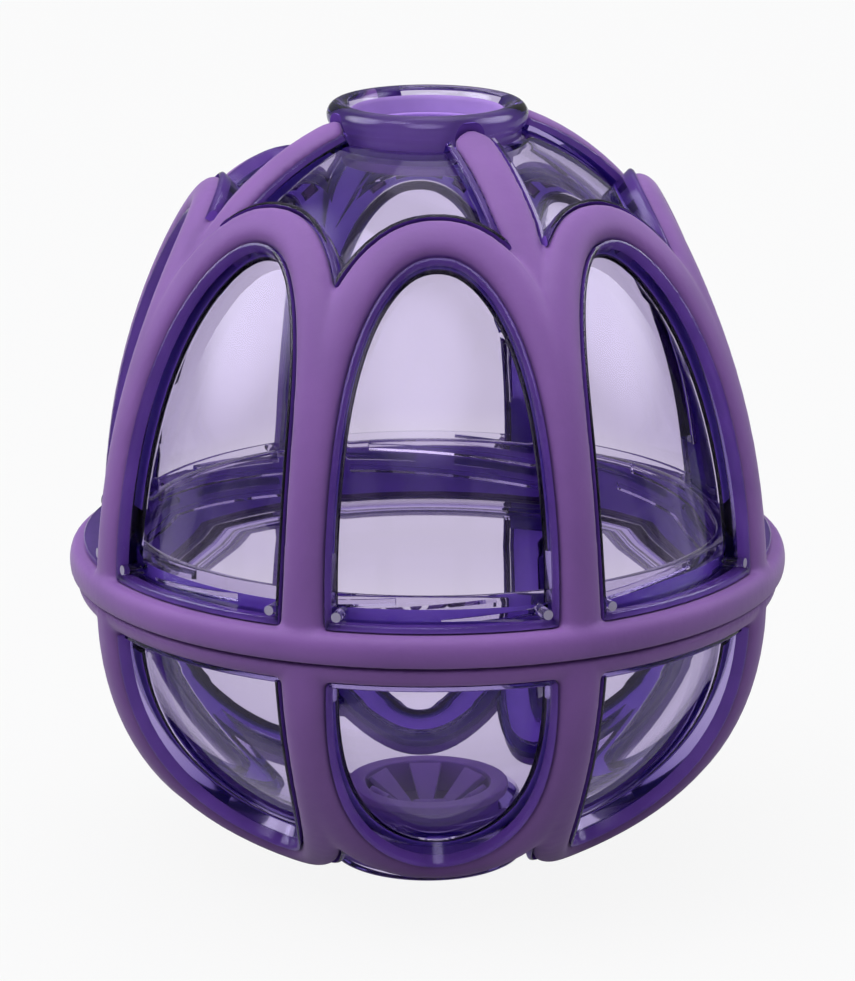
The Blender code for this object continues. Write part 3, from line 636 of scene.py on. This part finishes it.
def soft_rubber(name, dark, light):
    """Matte lilac rubber: a fine grain, faint clouding of the colour and a light sheen."""
    material = bpy.data.materials.new(name)
    material.use_nodes = True
    tree = material.node_tree
    shader = tree.nodes["Principled BSDF"]
    shader.inputs["Roughness"].default_value = 0.62
    shader.inputs["Specular IOR Level"].default_value = 0.35
    shader.inputs["Sheen Weight"].default_value = 0.15
    shader.inputs["Sheen Roughness"].default_value = 0.5
    shader.inputs["Subsurface Weight"].default_value = 0.12
    shader.inputs["Subsurface Radius"].default_value = (0.5, 0.35, 0.8)
    shader.inputs["Subsurface Scale"].default_value = 0.002
    place = clouded(tree, shader, 60, 6, (0.35, 0.7), dark, light)
    grain = node(tree, "ShaderNodeTexNoise", Scale=1600, Detail=2)
    bump = node(tree, "ShaderNodeBump", Strength=0.2, Distance=0.0001)
    tree.links.new(place.outputs["Object"], grain.inputs["Vector"])
    tree.links.new(grain.outputs["Fac"], bump.inputs["Height"])
    tree.links.new(bump.outputs["Normal"], shader.inputs["Normal"])
    return material


rib = crowned(RIB_WIDTH / 2, RIB_DEPTH, CROWN_HEIGHT)
lower_bumper = arcade("lower_rubber_bumper", LOWER, rib, GAP)
top = GAP / 2
lap_radius, lap_end = skirt_outer + 2 * GAP, LEDGE_DROP - GAP
outer, ring_inner = SEAM_RADIUS - RING_INSET, SEAT_RADIUS + GAP
outline = [(lap_radius, top)]
outline += [
    (outer - LOWER_RING_TAPER * (1 - math.cos(t)), top + (LOWER_RING_HEIGHT - top) * math.sin(t))
    for t in np.linspace(0, math.pi / 2, 9)
]
outline += [(ring_inner, LOWER_RING_HEIGHT), (ring_inner, lap_end), (lap_radius, lap_end)]
worked(lower_bumper, turned("lower_ring", LOWER, outline, RING_SIDES), "UNION")
softened(lower_bumper, LOWER_VOXEL, EASE_ROUNDS)
rubber = soft_rubber("lilac_rubber", (0.134, 0.053, 0.225, 1), (0.168, 0.068, 0.272, 1))
lower_bumper.data.materials.clear()
lower_bumper.data.materials.append(rubber)
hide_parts("lower_bumper")
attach(lower_bumper, "lower_half")


# Upper rubber bumper: the dome's cage of the same rubber, with eight arches, four spokes whose rounded ends
# lap onto the bead, and a thick rounded ring that stands a little proud at the seam.
UPPER_RING_CROWN, UNDERCUT_CURVE = 0.0014, 0.45
SPOKE_CROWN = 0.0015
UPPER_VOXEL = 0.00058
upper_bumper = arcade("upper_rubber_bumper", UPPER, rib, UPPER_RING_HEIGHT / 2)
middle = (UPPER_RING_HEIGHT + GAP / 2) / 2
ring_outer = SEAM_RADIUS - UPPER_RING_CROWN / 4
outline = [(ring_inner, GAP / 2)]
for t in np.linspace(-math.pi / 2, math.pi / 2, 17):
    bulge = abs(math.cos(t)) ** (UNDERCUT_CURVE if t < 0 else 1)
    outline.append((ring_outer + UPPER_RING_CROWN * bulge, middle + (middle - GAP / 2) * math.sin(t)))
outline += [(ring_inner, UPPER_RING_HEIGHT)]
worked(upper_bumper, turned("upper_ring", UPPER, outline, RING_SIDES), "UNION")
arms = spoke_set(
    "rubber_spokes", lambda width: crowned(width, SPOKE_DEPTH, min(SPOKE_CROWN, width)), SPOKE_WIDTH / 2,
    SPOKE_FOOT - SPOKE_LEAD / 2, BEAD_RADIUS - SPOKE_LAP, True,
)
worked(upper_bumper, arms, "UNION")
worked(upper_bumper, pegs("rubber_pegs", UPPER), "UNION")
softened(upper_bumper, UPPER_VOXEL, EASE_ROUNDS)
upper_bumper.data.materials.clear()
upper_bumper.data.materials.append(rubber)
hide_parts("upper_bumper")
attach(upper_bumper, "upper_half")


# Outlets: a thin rubber ring plugs each bore, with a flange inside the shell. Six flexible fingers, moulded
# in one with it, lean outwards over the hole and let one treat through at a time.
OUTLET_FLANGE, OUTLET_FLANGE_WIDTH, OUTLET_HOLE, OUTLET_TUBE = 0.0016, 0.0016, 0.0109, 0.0045
FINGER_THICK, FINGER_ROOT, FINGER_TIP, FINGER_HOLE = 0.0013, 0.0058, 0.0022, 0.0034
FINGER_SLOPE, HINGE_RADIUS = math.radians(43), 0.0094486
TIP_ROUND, FINGER_ROUND = 0.0008, 0.0003
# The outlets' thin rubber is a lighter copy of the bumper's rubber: painted light, as if lit through the
# thin rubber.
glow_painted_rubber = soft_rubber("thin_lilac_rubber_painted_glow", (0.24, 0.13, 0.46, 1), (0.30, 0.16, 0.55, 1))
finger_length = (HINGE_RADIUS - FINGER_HOLE) / math.cos(FINGER_SLOPE)
plug_outer, flange_outer = BORE_RADIUS - GAP, BORE_RADIUS + OUTLET_FLANGE_WIDTH
bevel_form = {"profile": 0.5, "affect": "EDGES", "material": -1}


def stands_at_tip(edge):
    first, second = (vertex.co for vertex in edge.verts)
    return first.x > 0 and second.x > 0 and abs(first.z - second.z) > 1e-6


for half, face, ring_body in ((LOWER, LOWER_BOSS, "lower_half"), (UPPER, UPPER_BOSS, "thread_carrier")):
    seat, flange_end, tube_end = face - GAP, face - GAP - OUTLET_FLANGE, face + OUTLET_TUBE
    outline = [(OUTLET_HOLE, flange_end), (flange_outer, flange_end), (flange_outer, seat)]
    outline += [(plug_outer, seat), (plug_outer, tube_end), (OUTLET_HOLE, tube_end)]
    outline = rounded(outline, (0.0003, 0.0005, 0.0004, 0, 0.0004, 0.0004))
    plug = turned(half.name + "_outlet_plug", half, outline)
    smooth_but_edges(plug, 40)
    plug.data.materials.append(glow_painted_rubber)
    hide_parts(half.name + "_outlet_ring")
    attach(plug, ring_body)
    for number in range(6):
        bm = bmesh.new()
        bmesh.ops.create_cube(bm, size=1)
        for vertex in bm.verts:
            tip = vertex.co.x > 0
            vertex.co.x = finger_length if tip else -FINGER_THICK / 2
            vertex.co.y *= FINGER_TIP if tip else FINGER_ROOT
            vertex.co.z *= FINGER_THICK
        tips = [edge for edge in bm.edges if stands_at_tip(edge)]
        bmesh.ops.bevel(bm, geom=tips, offset=TIP_ROUND, segments=4, **bevel_form)
        bmesh.ops.bevel(bm, geom=bm.edges[:], offset=FINGER_ROUND, segments=2, **bevel_form)
        angle = number * math.pi / 3
        out = Vector((math.sin(angle), -math.cos(angle), 0))
        up = Vector((0, 0, half.way))
        along = -out * math.cos(FINGER_SLOPE) + up * math.sin(FINGER_SLOPE)
        across = up.cross(-out)
        turn = Matrix((along, across, along.cross(across))).transposed().to_4x4()
        root = half.place(angle, HINGE_RADIUS, seat - OUTLET_FLANGE / 2)
        bmesh.ops.transform(bm, matrix=Matrix.Translation(root) @ turn, verts=bm.verts)
        name = f"{half.name}_finger_{number + 1}"
        leaf = as_piece(name + "_leaf", bm)
        smooth_but_edges(leaf, 40)
        leaf.data.materials.append(glow_painted_rubber)
        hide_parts(name)
        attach(leaf, name)


# Studio: a pale floor and backdrop, soft light from all round, and the photograph's viewing angle.
# The floor and the backdrop look white to the camera and through the plastic, and light the toy far less.
FLOOR_RADIUS, FLOOR_WHITE = 4, 0.9
ROOM_LIGHT, ROOM_SHINE, MIRRORED_WHITE = 0.11, 0.1, 0.12


def math_node(tree, operation, *values):
    """A math node whose inputs are values or the outputs of other nodes."""
    made = tree.nodes.new("ShaderNodeMath")
    made.operation = operation
    for socket, value in zip(made.inputs, values):
        if isinstance(value, (int, float)):
            socket.default_value = value
        else:
            tree.links.new(value, socket)
    return made


def seen_straight(tree):
    """How much white this shows: all to the camera and through the plastic, a little in a reflection."""
    rays = tree.nodes.new("ShaderNodeLightPath")
    seen = rays.outputs["Is Camera Ray"]
    for kind, share in (("Is Glossy Ray", MIRRORED_WHITE), ("Is Transmission Ray", 1)):
        either = math_node(tree, "MULTIPLY_ADD", rays.outputs[kind], share, seen)
        either.use_clamp = True
        seen = either.outputs["Value"]
    return seen


def pale_stage():
    """Matte pale paper that takes the toy's shadow."""
    material = bpy.data.materials.new("pale_paper")
    material.use_nodes = True
    tree = material.node_tree
    shader = tree.nodes["Principled BSDF"]
    shader.inputs["Base Color"].default_value = (0.34, 0.34, 0.35, 1)
    shader.inputs["Roughness"].default_value = 0.9
    share = math_node(tree, "MULTIPLY", seen_straight(tree), FLOOR_WHITE)
    glow = node(tree, "ShaderNodeEmission", Color=(1, 1, 1, 1), Strength=1)
    mix = tree.nodes.new("ShaderNodeMixShader")
    tree.links.new(share.outputs["Value"], mix.inputs["Fac"])
    tree.links.new(shader.outputs["BSDF"], mix.inputs[1])
    tree.links.new(glow.outputs["Emission"], mix.inputs[2])
    tree.links.new(mix.outputs["Shader"], tree.nodes["Material Output"].inputs["Surface"])
    return material


def direction(azimuth, elevation):
    """A direction given in degrees, with azimuth 0 towards the camera's side."""
    turn, rise = math.radians(azimuth), math.radians(elevation)
    return Vector((math.sin(turn) * math.cos(rise), -math.cos(turn) * math.cos(rise), math.sin(rise)))


bm = bmesh.new()
bmesh.ops.create_circle(bm, cap_ends=True, radius=FLOOR_RADIUS, segments=64)
floor = as_piece("floor", bm)
floor.data.materials.append(pale_stage())

world = bpy.data.worlds.new("studio")
bpy.context.scene.world = world
world.use_nodes = True
tree = world.node_tree
room = tree.nodes["Background"]
room.inputs["Color"].default_value = (0.97, 0.98, 1, 1)
rays = tree.nodes.new("ShaderNodeLightPath")
look = tree.nodes.new("ShaderNodeTexCoord")


def lit_or_mirrored(light, shine):
    """One strength for light that falls on the toy, and another for what its gloss mirrors."""
    level = node(tree, "ShaderNodeMapRange", To_Min=light, To_Max=shine)
    tree.links.new(rays.outputs["Is Glossy Ray"], level.inputs["Value"])
    return level.outputs["Result"]


# Each soft panel: its azimuth and elevation, the light it gives, how it shines in the gloss, and its spread.
panels = (
    (-6, 37, 0.9, 8, 25), (-95, 34, 2.2, 12, 28), (95, 34, 1.8, 10, 28), (180, 50, 0.8, 0.6, 34),
    (-40, 74, 3.8, 1.0, 44),
)
total = lit_or_mirrored(ROOM_LIGHT, ROOM_SHINE)
for azimuth, elevation, light, shine, spread in panels:
    facing = tree.nodes.new("ShaderNodeVectorMath")
    facing.operation = "DOT_PRODUCT"
    facing.inputs[1].default_value = direction(azimuth, elevation)
    tree.links.new(look.outputs["Generated"], facing.inputs[0])
    edge, core = math.cos(math.radians(spread)), math.cos(math.radians(spread / 5))
    panel = node(tree, "ShaderNodeMapRange", From_Min=edge, From_Max=core)
    panel.interpolation_type = "SMOOTHSTEP"
    tree.links.new(facing.outputs["Value"], panel.inputs["Value"])
    strength = lit_or_mirrored(light, shine)
    total = math_node(tree, "MULTIPLY_ADD", panel.outputs["Result"], strength, total).outputs["Value"]
tree.links.new(total, room.inputs["Strength"])
backdrop = node(tree, "ShaderNodeBackground", Color=(1, 1, 1, 1), Strength=1)
mix = tree.nodes.new("ShaderNodeMixShader")
tree.links.new(seen_straight(tree), mix.inputs["Fac"])
tree.links.new(room.outputs["Background"], mix.inputs[1])
tree.links.new(backdrop.outputs["Background"], mix.inputs[2])
tree.links.new(mix.outputs["Shader"], tree.nodes["World Output"].inputs["Surface"])

target = Vector((0, 0, 0.0635))


def aimed(name, data, spot):
    """A lamp or camera at a spot, turned to face the toy."""
    made = bpy.data.objects.new(name, data)
    bpy.context.scene.collection.objects.link(made)
    made.location = spot
    made.rotation_euler = (target - Vector(spot)).to_track_quat("-Z", "Y").to_euler()
    return made


lamps = (("key", (-0.45, -0.35, 1.05), 0.4, 2.3), ("top", (0.15, 0.25, 1.0), 0.6, 1.8))
for name, spot, size, power in lamps:
    lamp = bpy.data.lights.new(name, "AREA")
    lamp.size, lamp.energy = size, power
    aimed(name, lamp, spot)

camera_distance, camera_side, camera_rise = 0.755, -2.4, 15.3
lens = bpy.data.cameras.new("camera")
lens.lens = 166
camera = aimed("camera", lens, target + direction(camera_side, camera_rise) * camera_distance)
bpy.context.scene.camera = camera
bpy.context.scene.view_settings.view_transform = "Standard"
